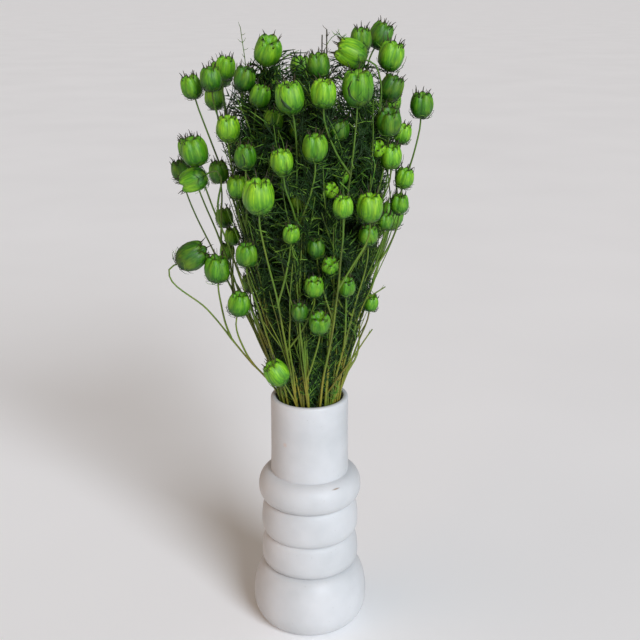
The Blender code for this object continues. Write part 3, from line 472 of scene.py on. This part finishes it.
def add_pod(bm, shoot, draw):
    """Adds one ribbed pod with the numbers its finish reads."""
    marks = bm.verts.layers.float_color["skin"]
    spots = bm.verts.layers.float_vector["pod_place"]
    pod_dye_and_light, offset, ribbed = draw.random(), draw.uniform(0, 90), draw.uniform(0.5, 1.1)
    # Pods in the table get their brightness from dye, painted light and painted shade
    pod_dye_and_light = DYES_AND_PAINTED_LIGHT.get(shoot.name, pod_dye_and_light)
    ball = bmesh.ops.create_uvsphere(bm, u_segments=50, v_segments=20, radius=1)["verts"]
    for vert in ball:
        x, y, z = vert.co
        around, down = math.atan2(y, x), math.acos(max(-1, min(1, z))) / math.pi
        out, rise, depth = (float(np.interp(down, OUTLINE[:, 0], OUTLINE[:, k])) for k in (1, 2, 3))
        # 0 on a seam and 1 on the rib in the middle of a carpel
        on_rib = abs((around * CARPELS / math.tau) % 1 * 2 - 1)
        lobe = 1 - (1 - on_rib) ** 2.5
        out *= 1 - depth * (1 - lobe) + 0.02 * bell(1 - on_rib, 0.12)
        rise += bell(down - 0.22, 0.06) * (lobe - 0.6) * 0.34
        dent = noise.noise(Vector((x * 1.6, y * 1.6, z * 1.6 + offset))) * 0.045
        dent += noise.noise(Vector((x * 4, y * 4, z * 3 + offset))) * 0.016
        vert[marks] = (on_rib, (rise + 1) / 2, pod_dye_and_light, ribbed)
        vert[spots] = (x, y, z + offset)
        vert.co = shoot.place(around, out * (1 + dent), rise * (1 + dent * 0.5))
    for face in {face for vert in ball for face in vert.link_faces}:
        face.smooth = True
        face.material_index = SKIN


# %% [markdown]
# Stalks, styles, bracts and leaves are all round threads, so they are drawn as lines with a thickness.
# A route bends softly through its given places, because a dried stem has no sharp corners. The finest
# threads get three sides, which at their size looks the same as round and keeps the piece light.


# %% Lines with a thickness
def soft_route(places, spacing=6 * MM):
    """Points along a soft curve through the places."""
    ways = [(after - before).normalized() for before, after in zip(places, places[1:])]
    heads = [ways[0]] + [(first + second).normalized() for first, second in zip(ways, ways[1:])] + [ways[-1]]
    made = [places[0]]
    for k, (start, end) in enumerate(zip(places, places[1:])):
        third = (end - start).length / 3
        steps = max(2, round(third * 3 / spacing))
        handles = start + heads[k] * third, end - heads[k + 1] * third
        made += interpolate_bezier(start, *handles, end, steps + 1)[1:]
    return made


def new_object(data):
    made = bpy.data.objects.new(data.name, data)
    bpy.context.scene.collection.objects.link(made)
    return made


def line_object(name, lines, cyclic=False):
    curve = bpy.data.curves.new(name, "CURVE")
    curve.dimensions = "3D"
    for points, radii in lines:
        spline = curve.splines.new("POLY")
        spline.points.add(len(points) - 1)
        spline.points.foreach_set("co", [c for p in points for c in (*p, 1)])
        spline.points.foreach_set("radius", [r / MM for r in radii])
        spline.use_cyclic_u = cyclic
    return new_object(curve)


corners = [Vector((math.cos(a), -math.sin(a), 0)) * MM for a in (0, math.tau / 3, math.tau * 2 / 3)]
three_sided = line_object("three_sided_section", [(corners, [MM] * 3)], cyclic=True)


def lines_to(bm, lines, material, fine=True):
    """Adds lines, each a list of points and a list of radii, as tubes to the mesh of a piece."""
    if not lines:
        return
    drawn = line_object("lines", lines)
    curve = drawn.data
    curve.bevel_mode = "OBJECT" if fine else "ROUND"
    curve.bevel_object = three_sided if fine else None
    curve.bevel_depth, curve.bevel_resolution = MM, 1
    curve.use_fill_caps = True
    bpy.context.view_layer.update()
    mesh = bpy.data.meshes.new_from_object(drawn.evaluated_get(bpy.context.evaluated_depsgraph_get()))
    mesh.polygons.foreach_set("material_index", [material] * len(mesh.polygons))
    mesh.polygons.foreach_set("use_smooth", [True] * len(mesh.polygons))
    bm.from_mesh(mesh)
    bpy.data.objects.remove(drawn)
    bpy.data.curves.remove(curve)
    bpy.data.meshes.remove(mesh)


def taper(count, first, last):
    """Radii in metres that go evenly from the first to the last, which are given in mm."""
    return [(first + (last - first) * k / (count - 1)) * MM for k in range(count)]


# %% [markdown]
# A main stem is about 2.8 mm thick where it is cut and half that under its pod. It swells a little where a
# branch leaves it, and wanders by a millimetre or so on its way, as stems do that dried in a bundle.


# %% The stalks
noise.seed_set(1795869991)  # without a seed, noise_vector follows the clock


def wandered(points, draw, far=0.9):
    """The points of a line, moved by up to about so many mm in a way that changes slowly along it."""
    offset = Vector((draw.uniform(0, 50), 0, 0))
    last = len(points) - 1
    calm = [min(1, k / 4, (last - k) / 4) for k in range(last + 1)]
    return [p + noise.noise_vector(p * 28 + offset) * far * MM * c for p, c in zip(points, calm)]


def stalk_lines(stem, draw):
    """The main stalk and the branches, which start on the main stalk's own line."""
    lines = []
    forks = [shoot.route[0] for shoot in stem[1:]]
    for shoot in stem:
        places = list(shoot.route)
        if lines:
            places[0] = min(lines[0][0], key=lambda p: (p - places[0]).length)
        points = wandered(soft_route(places), draw)
        radii = taper(len(points), 0.9 if lines else 1.4, 0.65)
        for k, point in enumerate(points):
            radii[k] *= 1 + 0.35 * bell(min(((point - fork).length for fork in forks), default=1), 4 * MM)
        lines.append((points, radii))
    return lines


# %% [markdown]
# Each carpel ends in a style, a bare horn a few millimetres long that curls outward as it dries. Below the
# pod stand the bracts that once framed the flower. Each is a midrib with side threads. Most are broken
# short, and a few still hug the belly and show their tips round the crown.


# %% The crown and the bracts
def crown_lines(shoot, draw):
    lines = []
    for k in range(CARPELS):
        around = k * math.tau / CARPELS + draw.uniform(-0.06, 0.06)
        curl, long, twist = draw.uniform(0.02, 0.26), draw.uniform(0.3, 0.55), draw.uniform(-0.12, 0.12)
        route = (0.50, 0.93, 0), (0.56, 1.08, 0), (0.58 + curl * 0.5, 1.0 + long * 0.7, 0.5)
        route += ((0.6 + curl, 1.0 + long, 1),)
        points = [shoot.place(around + twist * bend, out, rise) for out, rise, bend in route]
        lines.append((points, taper(4, 0.74, 0.15)))
    for _ in range(draw.randint(5, 9)):
        around, lean = draw.uniform(0, math.tau), draw.uniform(-0.1, 0.2)
        route = (0.78, 0.78), (0.80 + lean * 0.4, 0.98), (0.82 + lean, draw.uniform(1.1, 1.3))
        lines.append(([shoot.place(around, out, rise) for out, rise in route], taper(3, 0.38, 0.13)))
    return lines


def bract_lines(shoot, draw):
    lines = []
    for k in range(6):
        around = k * math.tau / 6 + draw.uniform(-0.4, 0.4)
        flare, sway = draw.uniform(0, 0.12), draw.uniform(-0.4, 0.4)
        hug = (0.10, -1.02), (0.60, -0.96), (0.96 + flare * 0.3, -0.58), (1.07 + flare * 0.6, -0.12)
        hug += (1.07 + flare, 0.25), (0.98 + flare * 1.3, 0.6)
        count = draw.choice((3, 3, 3, 3, 4, 5))
        rib = [shoot.place(around + sway * n / 5, out, rise) for n, (out, rise) in enumerate(hug[:count])]
        lines.append((rib, taper(count, 0.36, 0.14)))
        for n in range(1, min(count, 3)):
            out, rise = hug[n]
            for way in (-1, 1):
                spread, lift = draw.uniform(0.16, 0.36) * way, draw.uniform(0.1, 0.35)
                loose = draw.uniform(-0.04, 0.16)
                start = around + sway * n / 5
                # A side thread starts on the midrib and lies round the belly, just off the wall
                off_wall = max(out, 0.85)
                points = [
                    shoot.place(start, out, rise),
                    shoot.place(start + spread, off_wall + 0.08, rise + lift * 0.5),
                    shoot.place(start + spread * 1.8, off_wall + 0.06 + loose, rise + lift),
                ]
                lines.append((points, taper(3, 0.26, 0.1)))
    return lines


# %% [markdown]
# A few pods have split down the wall of a carpel while drying. The dark opening of the gap is painted shade:
# a dark spindle sunk in the wall, drawn as a line that swells in its middle, with a pale torn edge beside it.

# %% The splits
SPLITS = {
    # stem and pod radius: points of a gap as the turn from the front, the rise, and the half width in mm
    (9, 10.5): [
        ((-0.66, 0.34, 0.2), (-0.52, 0.06, 1.2), (-0.32, -0.2, 1.6), (-0.08, -0.44, 1.3), (0.14, -0.62, 0.2)),
    ],
    (15, 8.25): [((-0.2, 0.5, 0.2), (0.0, 0.15, 0.7), (0.04, -0.25, 0.9), (-0.1, -0.6, 0.2))],
    (7, 11.5): [
        ((-0.45, 0.62, 0.2), (-0.62, 0.2, 0.8), (-0.5, -0.2, 0.9), (-0.2, -0.5, 0.2)),
        ((-0.1, 0.72, 0.2), (0.28, 0.5, 0.6), (0.34, 0.1, 0.7), (0.05, -0.2, 0.2)),
    ],
}


def wall(rise):
    """How far out the wall of a pod is at a height, as shares of its radius."""
    return float(np.interp(-rise, -OUTLINE[3:, 2], OUTLINE[3:, 1]))


def split_lines(shoot):
    """The gaps of a split pod, and their torn edges."""
    front = min((k * math.tau / 90 for k in range(90)), key=lambda turn: shoot.place(turn, 1, 0).y)
    gaps, edges = [], []
    for gap in SPLITS.get(shoot.name, []):
        radii = [half * MM for _, _, half in gap]
        gaps.append(([shoot.place(front + turn, wall(rise) * 0.96, rise) for turn, rise, _ in gap], radii))
        edge = [shoot.place(front + turn + 0.11, wall(rise) * 1.0, rise + 0.03) for turn, rise, _ in gap]
        edges.append((edge, taper(len(gap), 0.3, 0.3)))
    return gaps, edges


# %% [markdown]
# The leaves fill the inside of the bunch like green wool. A leaf is a curved midrib with pairs of side
# threads. It stays out of the pods, and whoever dressed the bunch turned in what covered a pod from
# outside, so a thread may pass behind a pod but not in front of it.

# %% The leaves
middles = np.array([shoot.middle for shoot in shoots])
pod_radii = np.array([shoot.radius for shoot in shoots])
outward = middles * (1, 1, 0)
outward /= np.linalg.norm(outward, axis=1)[:, None]
BEFORE_POD = 36 * MM  # no thread hides a pod from nearer outside it than this
LEAF_ROOTS, MOUTH, CROWN = 194 * MM, 255 * MM, 385 * MM  # heights
CROWN_RADIUS = 42 * MM
MOUTH_SHARE = 0.2
INSIDE = 0.68  # as a share of the spread
# How far from the middle of the bunch the leaves and the bare shoots spread at each height, in mm
SPREAD_HEIGHTS = np.array((205, 216, 225, 240, 300, 384, 447, 480, 495, 507)) * MM
LEAF_SPREAD = np.array((24, 25, 28, 32, 50, 63, 73, 67, 43, 0)) * MM
SHOOT_SPREAD = np.array((25, 26, 30, 37, 60, 76, 80, 72, 46, 0)) * MM


def out_of_place(points, spread_here=LEAF_SPREAD):
    """Whether any point lies in a pod, just outside one where it would hide it, or past the spread."""
    places = np.array(points)
    spread = np.interp(places[:, 2], SPREAD_HEIGHTS, spread_here)
    if (np.hypot(places[:, 0], places[:, 1]) > spread).any():
        return True
    away = places[:, None, :] - middles[None]
    near = np.linalg.norm(away, axis=2)
    along = (away * outward[None]).sum(axis=2)
    beside = np.sqrt(np.maximum(near**2 - along**2, 0))
    hides = (along > 0) & (along < BEFORE_POD) & (beside < pod_radii)
    return bool(((near < pod_radii * 1.12) | hides).any())


def way_out(draw, low, high):
    """A random way out from the stalk, which climbs by low to high for each step out."""
    turn = draw.uniform(0, math.tau)
    return Vector((math.cos(turn), math.sin(turn), draw.uniform(low, high))).normalized()


def leaf_lines(root, way, length, draw):
    """One leaf: its midrib and its side threads, as far as they keep in place."""
    curl = Vector((draw.gauss(0, 0.35), draw.gauss(0, 0.35), draw.uniform(-0.5, 0.3))) * length
    side = way.cross(Vector((draw.gauss(0, 1), draw.gauss(0, 1), draw.gauss(0, 1)))).normalized()
    rib = [root + way * length * s + curl * s * s for s in (0, 0.2, 0.4, 0.6, 0.8, 1)]
    if out_of_place(rib):
        return []
    inside = math.hypot(root.x, root.y) < INSIDE * float(np.interp(root.z, SPREAD_HEIGHTS, LEAF_SPREAD))
    # Deep inside, the threads are thicker and straight, which fills the bunch with fewer faces
    thick, steps = (0.95, (0, 1)) if inside else (0.46, (0, 0.5, 1))
    lines = [(rib, taper(6, thick, 0.2))]
    for k in range(1, 6):
        head = (rib[k] - rib[k - 1]).normalized()
        for sign in (-1, 1):
            span = length * draw.uniform(0.25, 0.5)
            start = (head + side * sign * draw.uniform(0.7, 1.5)).normalized() * span
            droop = Vector((draw.gauss(0, 0.3), draw.gauss(0, 0.3), draw.gauss(0, 0.3))) * span
            thread = [rib[k] + start * s + droop * s * s for s in steps]
            if not out_of_place(thread):
                lines.append((thread, taper(len(steps), thick * 0.85, 0.18)))
    return lines


LEAVES_ON_STEM, LEAVES_ON_BRANCH = 56, 17
LEAVES_AT_CROWN = 6  # for each point of a stalk there


def foliage(stalk, draw, leaves):
    """Leaves up one stalk, and more round the top of one that ends near the axis."""
    lines = []
    points = [p for p in stalk if p.z > LEAF_ROOTS][:-1]
    low = [p for p in points if p.z < MOUTH]
    high = [p for p in points if p.z > CROWN and math.hypot(p.x, p.y) < CROWN_RADIUS]
    for _ in range(LEAVES_AT_CROWN * len(high)):
        way = way_out(draw, -0.2, 1.4)
        lines += leaf_lines(draw.choice(high), way, draw.uniform(18, 30) * MM, draw)
    for _ in range(leaves if points else 0):
        for tries in range(5):
            # Some fill the mouth, and more of the rest grow high up, where the bunch spreads wide
            if low and draw.random() < MOUTH_SHARE:
                root = draw.choice(low)
            else:
                root = points[int(len(points) * draw.random() ** 0.48)]
            way = way_out(draw, 0.7, 3.2)
            made = leaf_lines(root, way, draw.uniform(20, 38) * MM * (1 - tries * 0.14), draw)
            if made:
                lines += made
                break
    return lines


# %% [markdown]
# Many side shoots end without a pod: it broke off, or never set seed. They thicken the bunch with thin,
# nearly upright lines, so each stem gets a few, some of which leave it below the rim of the vase.


# %% The bare shoots
BARE_SHOOTS, TRIES = 8, 6


def bare_shoots(stalk, draw):
    """Bare shoots that leave one stalk. Each gets a few tries to keep clear of the pods and the neck."""
    lines = []
    for _ in range(BARE_SHOOTS):
        for _ in range(TRIES):
            root = draw.choice([p for p in stalk if 120 * MM < p.z < 330 * MM])
            high = draw.uniform(max(root.z + 70 * MM, 270 * MM), 480 * MM)
            line = min(stalk, key=lambda p: abs(p.z - high)) * draw.uniform(1.0, 1.3)
            end = Vector((line.x + draw.gauss(0, 11 * MM), line.y + draw.gauss(0, 11 * MM), high))
            middle = root.lerp(end, 0.5)
            near = min(stalk, key=lambda p: abs(p.z - middle.z))
            places = [root, middle.lerp(Vector((near.x, near.y, middle.z)), 0.5), end]
            points = wandered(soft_route(places, 12 * MM), draw, 2.4)
            if not out_of_place(points, SHOOT_SPREAD):
                lines.append((points, taper(len(points), 0.95, 0.3)))
                break
    return lines


# %% [markdown]
# Some bare shoots stand clear of the bunch and show: dry stubs that fork off to the right, two bristly
# uprights and a curled leaf behind the crown of the bunch, a thin twig at the left, and a leafy tuft at the
# mouth. Short hairs stand on their upper half.

# %% The shoots that stand clear
CLEAR_SHOOTS = [
    # stem, finish, radius at the root in mm, hairs and their length in mm, route in mm
    (6, BARK, 0.5, 12, 4, [(-46.8, 13.9, 402.1), (-49, 10, 450), (-48.5, 8, 482), (-52, 9, 516)]),
    (5, HORN, 1.0, 22, 4, [(-5.1, 17.8, 390.8), (3, 12, 430), (10, 3, 480), (10.5, 2, 511)]),
    (5, HORN, 1.0, 22, 4, [(-5.1, 17.8, 390.8), (8, 12, 430), (13.7, 3, 480), (14, 2, 515)]),
    (5, PALE, 0.35, 20, 4, [(13.9, 2, 503), (18, 0, 509), (24, -1, 511), (27, -1, 506)]),
    (19, BARK, 0.8, 3, 5, [(41.4, -9.7, 300), (48.7, -11, 306), (62, -12, 315)]),
    (22, BARK, 0.9, 2, 4, [(6.9, -16.6, 213), (20, -24, 234), (34, -24, 256), (51.5, -22, 282)]),
    (26, PALE, 0.6, 26, 7, [(17.7, -17, 213), (20, -21, 220), (24, -23, 231)]),
]


def hair_lines(points, count, long, draw):
    lines = []
    for _ in range(count):
        root = draw.choice(points[len(points) // 2 :])
        way = Vector((draw.gauss(0, 1), draw.gauss(0, 1), draw.uniform(0.2, 1.6))).normalized() * long
        lines.append(([root, root + way * 0.6, root + way + Vector((0, 0, 0.2 * long))], taper(3, 0.28, 0.1)))
    return lines


def clear_lines(number, draw):
    """The clear shoots of a stem and their hairs, by finish."""
    made = {BARK: [], HORN: [], PALE: []}
    for stem, finish, radius, hairs, long, route in CLEAR_SHOOTS:
        if stem == number:
            points = wandered(soft_route([Vector(place) * MM for place in route]), draw)
            made[finish].append((points, taper(len(points), radius, radius * 0.6)))
            made[finish] += hair_lines(points, hairs, long * MM, draw)
    return made


# %% [markdown]
# Everything that grew on one stem is joined into one piece, because none of it comes loose in the hand. The
# stems, the vase and the board all end alike, so one helper turns a finished bmesh into a piece.


# %% The cut stems
def new_piece(name, bm, materials):
    mesh = bpy.data.meshes.new(name)
    bm.to_mesh(mesh)
    bm.free()
    for material in materials:
        mesh.materials.append(material)
    return new_object(mesh)


PALE_SHARE = 0.17  # of the threads: pale where the dye did not reach, and pale as painted glints


def make_stem(stem):
    draw = random.Random(stem[0].stem)
    bm = bmesh.new()
    bm.verts.layers.float_color.new("skin")
    bm.verts.layers.float_vector.new("pod_place")
    for shoot in stem:
        add_pod(bm, shoot, draw)
    stalks = stalk_lines(stem, draw)
    stalks += bare_shoots(stalks[0][0], draw)
    clear = clear_lines(stem[0].stem, draw)
    splits = [split_lines(shoot) for shoot in stem]
    lines_to(bm, stalks + clear[BARK], BARK, fine=False)
    # The gaps take the dark thread finish as painted shade for the dark opening
    lines_to(bm, [line for gaps, _ in splits for line in gaps], THREAD, fine=False)
    lines_to(bm, [line for shoot in stem for line in crown_lines(shoot, draw)] + clear[HORN], HORN)
    threads = [line for shoot in stem for line in bract_lines(shoot, draw)]
    for number, (points, _) in enumerate(stalks):
        threads += foliage(points, draw, LEAVES_ON_BRANCH if number else LEAVES_ON_STEM)
    pale = [draw.random() < PALE_SHARE for _ in threads]
    lines_to(bm, [line for line, light in zip(threads, pale) if not light], THREAD)
    light_lines = [line for line, light in zip(threads, pale) if light] + clear[PALE]
    lines_to(bm, light_lines + [line for _, edges in splits for line in edges], PALE)
    piece = new_piece(f"nigella_stem_{stem[0].stem:02d}", bm, finishes)
    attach(piece, "root")
    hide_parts(f"sprig_{stem[0].stem:02d}")
    return piece


made_stems = [make_stem(stem) for stem in stems]
bpy.data.objects.remove(three_sided)
triangles = [sum(len(face.vertices) - 2 for face in piece.data.polygons) for piece in made_stems]
print(sum(triangles), "triangles in the stems, at most", max(triangles), "in one")

# %% [markdown]
# The vase is turned from one block of white stone, honed but not polished. Its outline is drawn once and
# spun round the axis: a straight neck with a rounded lip, three stacked rings and a wide round base.

# %% The vase
NECK, BORE, FLOOR, FOOT, TALL = (v * MM for v in (33, 28.5, 12, 34, 216))
RINGS = (
    # top, widest place, bottom, greatest radius, radius of the joint above and below, in mm
    (147.2, 132.5, 119.9, 44.6, 33.5, 37.2),
    (119.9, 99, 87.6, 42.4, 37.2, 37.2),
    (87.6, 67, 57.5, 42.6, 37.2, 37.2),
    (57.5, 24, 0, 50.5, 37.2, 34),
)


def arc(middle, half_wide, half_high, first, last, steps):
    """Points of an ellipse's arc, in degrees, as radius and height."""
    angles = [math.radians(first + (last - first) * k / steps) for k in range(steps + 1)]
    return [(middle[0] + half_wide * math.cos(a), middle[1] + half_high * math.sin(a)) for a in angles]


def vase_outline():
    lip, edge, hollow = 2.2 * MM, 1.5 * MM, 3 * MM
    points = arc((NECK - lip, TALL - lip), lip, lip, 90, 0, 6)
    points += [(NECK, 190 * MM), (NECK + 0.2 * MM, 165 * MM)]
    for top, widest, bottom, reach, above, below in RINGS:
        points += arc((above * MM, widest * MM), (reach - above) * MM, (top - widest) * MM, 88, 0, 9)
        points += arc((below * MM, widest * MM), (reach - below) * MM, (widest - bottom) * MM, 0, -88, 9)[1:]
    points += [(FOOT - 1.5 * MM, 0), (0, 0), (0, FLOOR)]
    points += arc((BORE - hollow, FLOOR + hollow), hollow, hollow, -90, 0, 4) + [(BORE, TALL - edge)]
    return points + arc((BORE + edge, TALL - edge), edge, edge, 180, 90, 4)


def make_vase(finish):
    bm = bmesh.new()
    outline = [bm.verts.new((radius, 0, height)) for radius, height in vase_outline()]
    pairs = zip(outline, outline[1:] + outline[:1])
    # The edge that would lie on the axis is left out, because it would spin into nothing
    edges = [bm.edges.new(pair) for pair in pairs if max(vert.co.x for vert in pair) > 0]
    geom = outline + edges
    bmesh.ops.spin(bm, geom=geom, axis=(0, 0, 1), cent=(0, 0, 0), angle=math.tau, steps=96, use_merge=True)
    bmesh.ops.remove_doubles(bm, verts=bm.verts, dist=0.01 * MM)
    bmesh.ops.recalc_face_normals(bm, faces=bm.faces)
    for face in bm.faces:
        face.smooth = True
    piece = new_piece("stone_vase", bm, [finish])
    piece.data.set_sharp_from_angle(angle=math.radians(40))
    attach(piece, "root")
    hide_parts("vase")
    return piece


# %% [markdown]
# Honed white marble scatters light a little way inside and has no clear reflections. Grey clouds a few
# centimetres wide drift through it, fine pits catch dirt, and there is one pinkish spot on the neck and a
# small brown chip on the top ring.


# %% The vase's stone
def spot(tree, place, size):
    """1 at a place and 0 past the size, both in mm. The size is given along each axis."""
    here = add(tree, "TexCoord", "Object")
    shares = tuple(1 / (s * MM) for s in size)
    middle = tuple(-p / s for p, s in zip(place, size))
    moved = add(tree, "Mapping", "Vector", {"Vector": here, "Location": middle, "Scale": shares})
    away = add(tree, "VectorMath", "Value", {0: moved}, operation="LENGTH")
    fade = {"Value": away, "From Min": 0.3, "From Max": 1.0, "To Min": 1.0, "To Max": 0.0}
    return add(tree, "MapRange", 0, fade)


def vase_stone():
    made, tree, shader = new_finish("honed white marble", 0.5, 1.5)
    depth = (2 * MM, 1.6 * MM, 1.2 * MM)
    fill(shader, {"Subsurface Weight": 0.08, "Subsurface Radius": depth, "Subsurface Scale": 1.0})
    greys = (0.35, "#b6b8b9"), (0.62, "#c3c4c5")
    clouds = add(tree, "ValToRGB", "Color", {"Fac": patches(tree, 45, 4.0)}, greys)
    dirt = (0.22, "#d8d6d2"), (0.30, "#ffffff")
    pits = add(tree, "ValToRGB", "Color", {"Fac": patches(tree, 1.6, 3.0)}, dirt)
    stone = add(tree, "Mix", 2, {0: 1.0, 6: clouds, 7: pits}, data_type="RGBA", blend_type="MULTIPLY")
    blush = (-20.4, -25.9, 180.3), (2.6, 2.6, 2.6), "#c2b5ae"
    chip = (22.5, -34.3, 143.4), (4.4, 6, 0.7), "#8d7a68"
    for place, size, colour in (blush, chip):
        mark = spot(tree, place, size)
        stone = add(tree, "Mix", 2, {0: mark, 6: stone, 7: linear(colour)}, data_type="RGBA")
    gloss = add(tree, "MapRange", 0, {"Value": patches(tree, 6, 3.0), "To Min": 0.46, "To Max": 0.6})
    relief = add(tree, "Bump", 0, {"Height": pits, "Distance": 0.06 * MM, "Strength": 1.0})
    fill(shader, {"Base Color": stone, "Roughness": gloss, "Normal": relief})
    return made


vase = make_vase(vase_stone())
high_corner = [round(c / MM, 1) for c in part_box("vase")[1]]
print("vase", [round(c / MM, 1) for c in vase.dimensions], "high corner in the CAD", high_corner)

# %% [markdown]
# The bunch stands on a wide pale board. A cool broad lamp in front at the upper right gives most of the
# light, and a weak warm one from the left and a dim pale room fill the shadows. So the pods are bright on
# the right, and the inside of the bunch stays dark.


# %% The board and the light
def board_finish():
    made, tree, shader = new_finish("white painted board", 0.6, 1.5)
    # A roller leaves wide faint clouds and a fine stipple
    whites = (0.3, "#f4f4f4"), (0.7, "#f8f8f8")
    paint = add(tree, "ValToRGB", "Color", {"Fac": patches(tree, 400, 2.0)}, whites)
    relief = add(tree, "Bump", 0, {"Height": patches(tree, 2.5), "Distance": 0.03 * MM, "Strength": 1.0})
    fill(shader, {"Base Color": paint, "Normal": relief})
    return made


MIDDLE = Vector((0, 0, 0.3))  # of the bunch, where the lamps point


def lamp(name, place, power, colour, wide):
    """A lamp that shines from a place past the middle of the bunch. It looks so many degrees wide."""
    data = bpy.data.lights.new(name, "SUN")
    data.energy, data.color, data.angle = power, linear(colour)[:3], math.radians(wide)
    made = new_object(data)
    made.location = place
    made.rotation_euler = (MIDDLE - Vector(place)).to_track_quat("-Z", "Y").to_euler()


ground = bmesh.new()
bmesh.ops.create_grid(ground, x_segments=1, y_segments=1, size=60)
board = new_piece("pale_board", ground, [board_finish()])
board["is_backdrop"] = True
lamp("broad_lamp", (0.75, -1.35, 1.1), 3.45, "#eef5ff", 28)
lamp("warm_fill", (-1.5, -0.5, 0.6), 0.75, "#ffba7c", 80)
room = bpy.data.worlds.new("pale_room")
room.use_nodes = True
fill(room.node_tree.nodes["Background"], {"Color": linear("#f2ece4"), "Strength": 0.31})
bpy.context.scene.world = room
bpy.context.scene.view_settings.view_transform = "Standard"
print("two lamps, one pale room")

# %% [markdown]
# The camera stands less than a metre away, a little above the bunch, and looks down by about nineteen
# degrees. The lens is set so that the bunch fills the height of the picture.

# %% The camera
lens = bpy.data.cameras.new("photo_view")
LOOKS_DOWN = 18.6  # degrees
lens.lens, lens.sensor_width = 56.25, 36
camera = new_object(lens)
camera.location = (0.009, -0.789, 0.548)
camera.rotation_euler = (math.radians(90 - LOOKS_DOWN), 0, 0)
bpy.context.scene.camera = camera

new_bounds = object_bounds()
growth = [round((new - old) / MM, 1) for new, old in zip(new_bounds[1], cad_bounds[1])]
print("grew by", growth, "mm at the high corner")
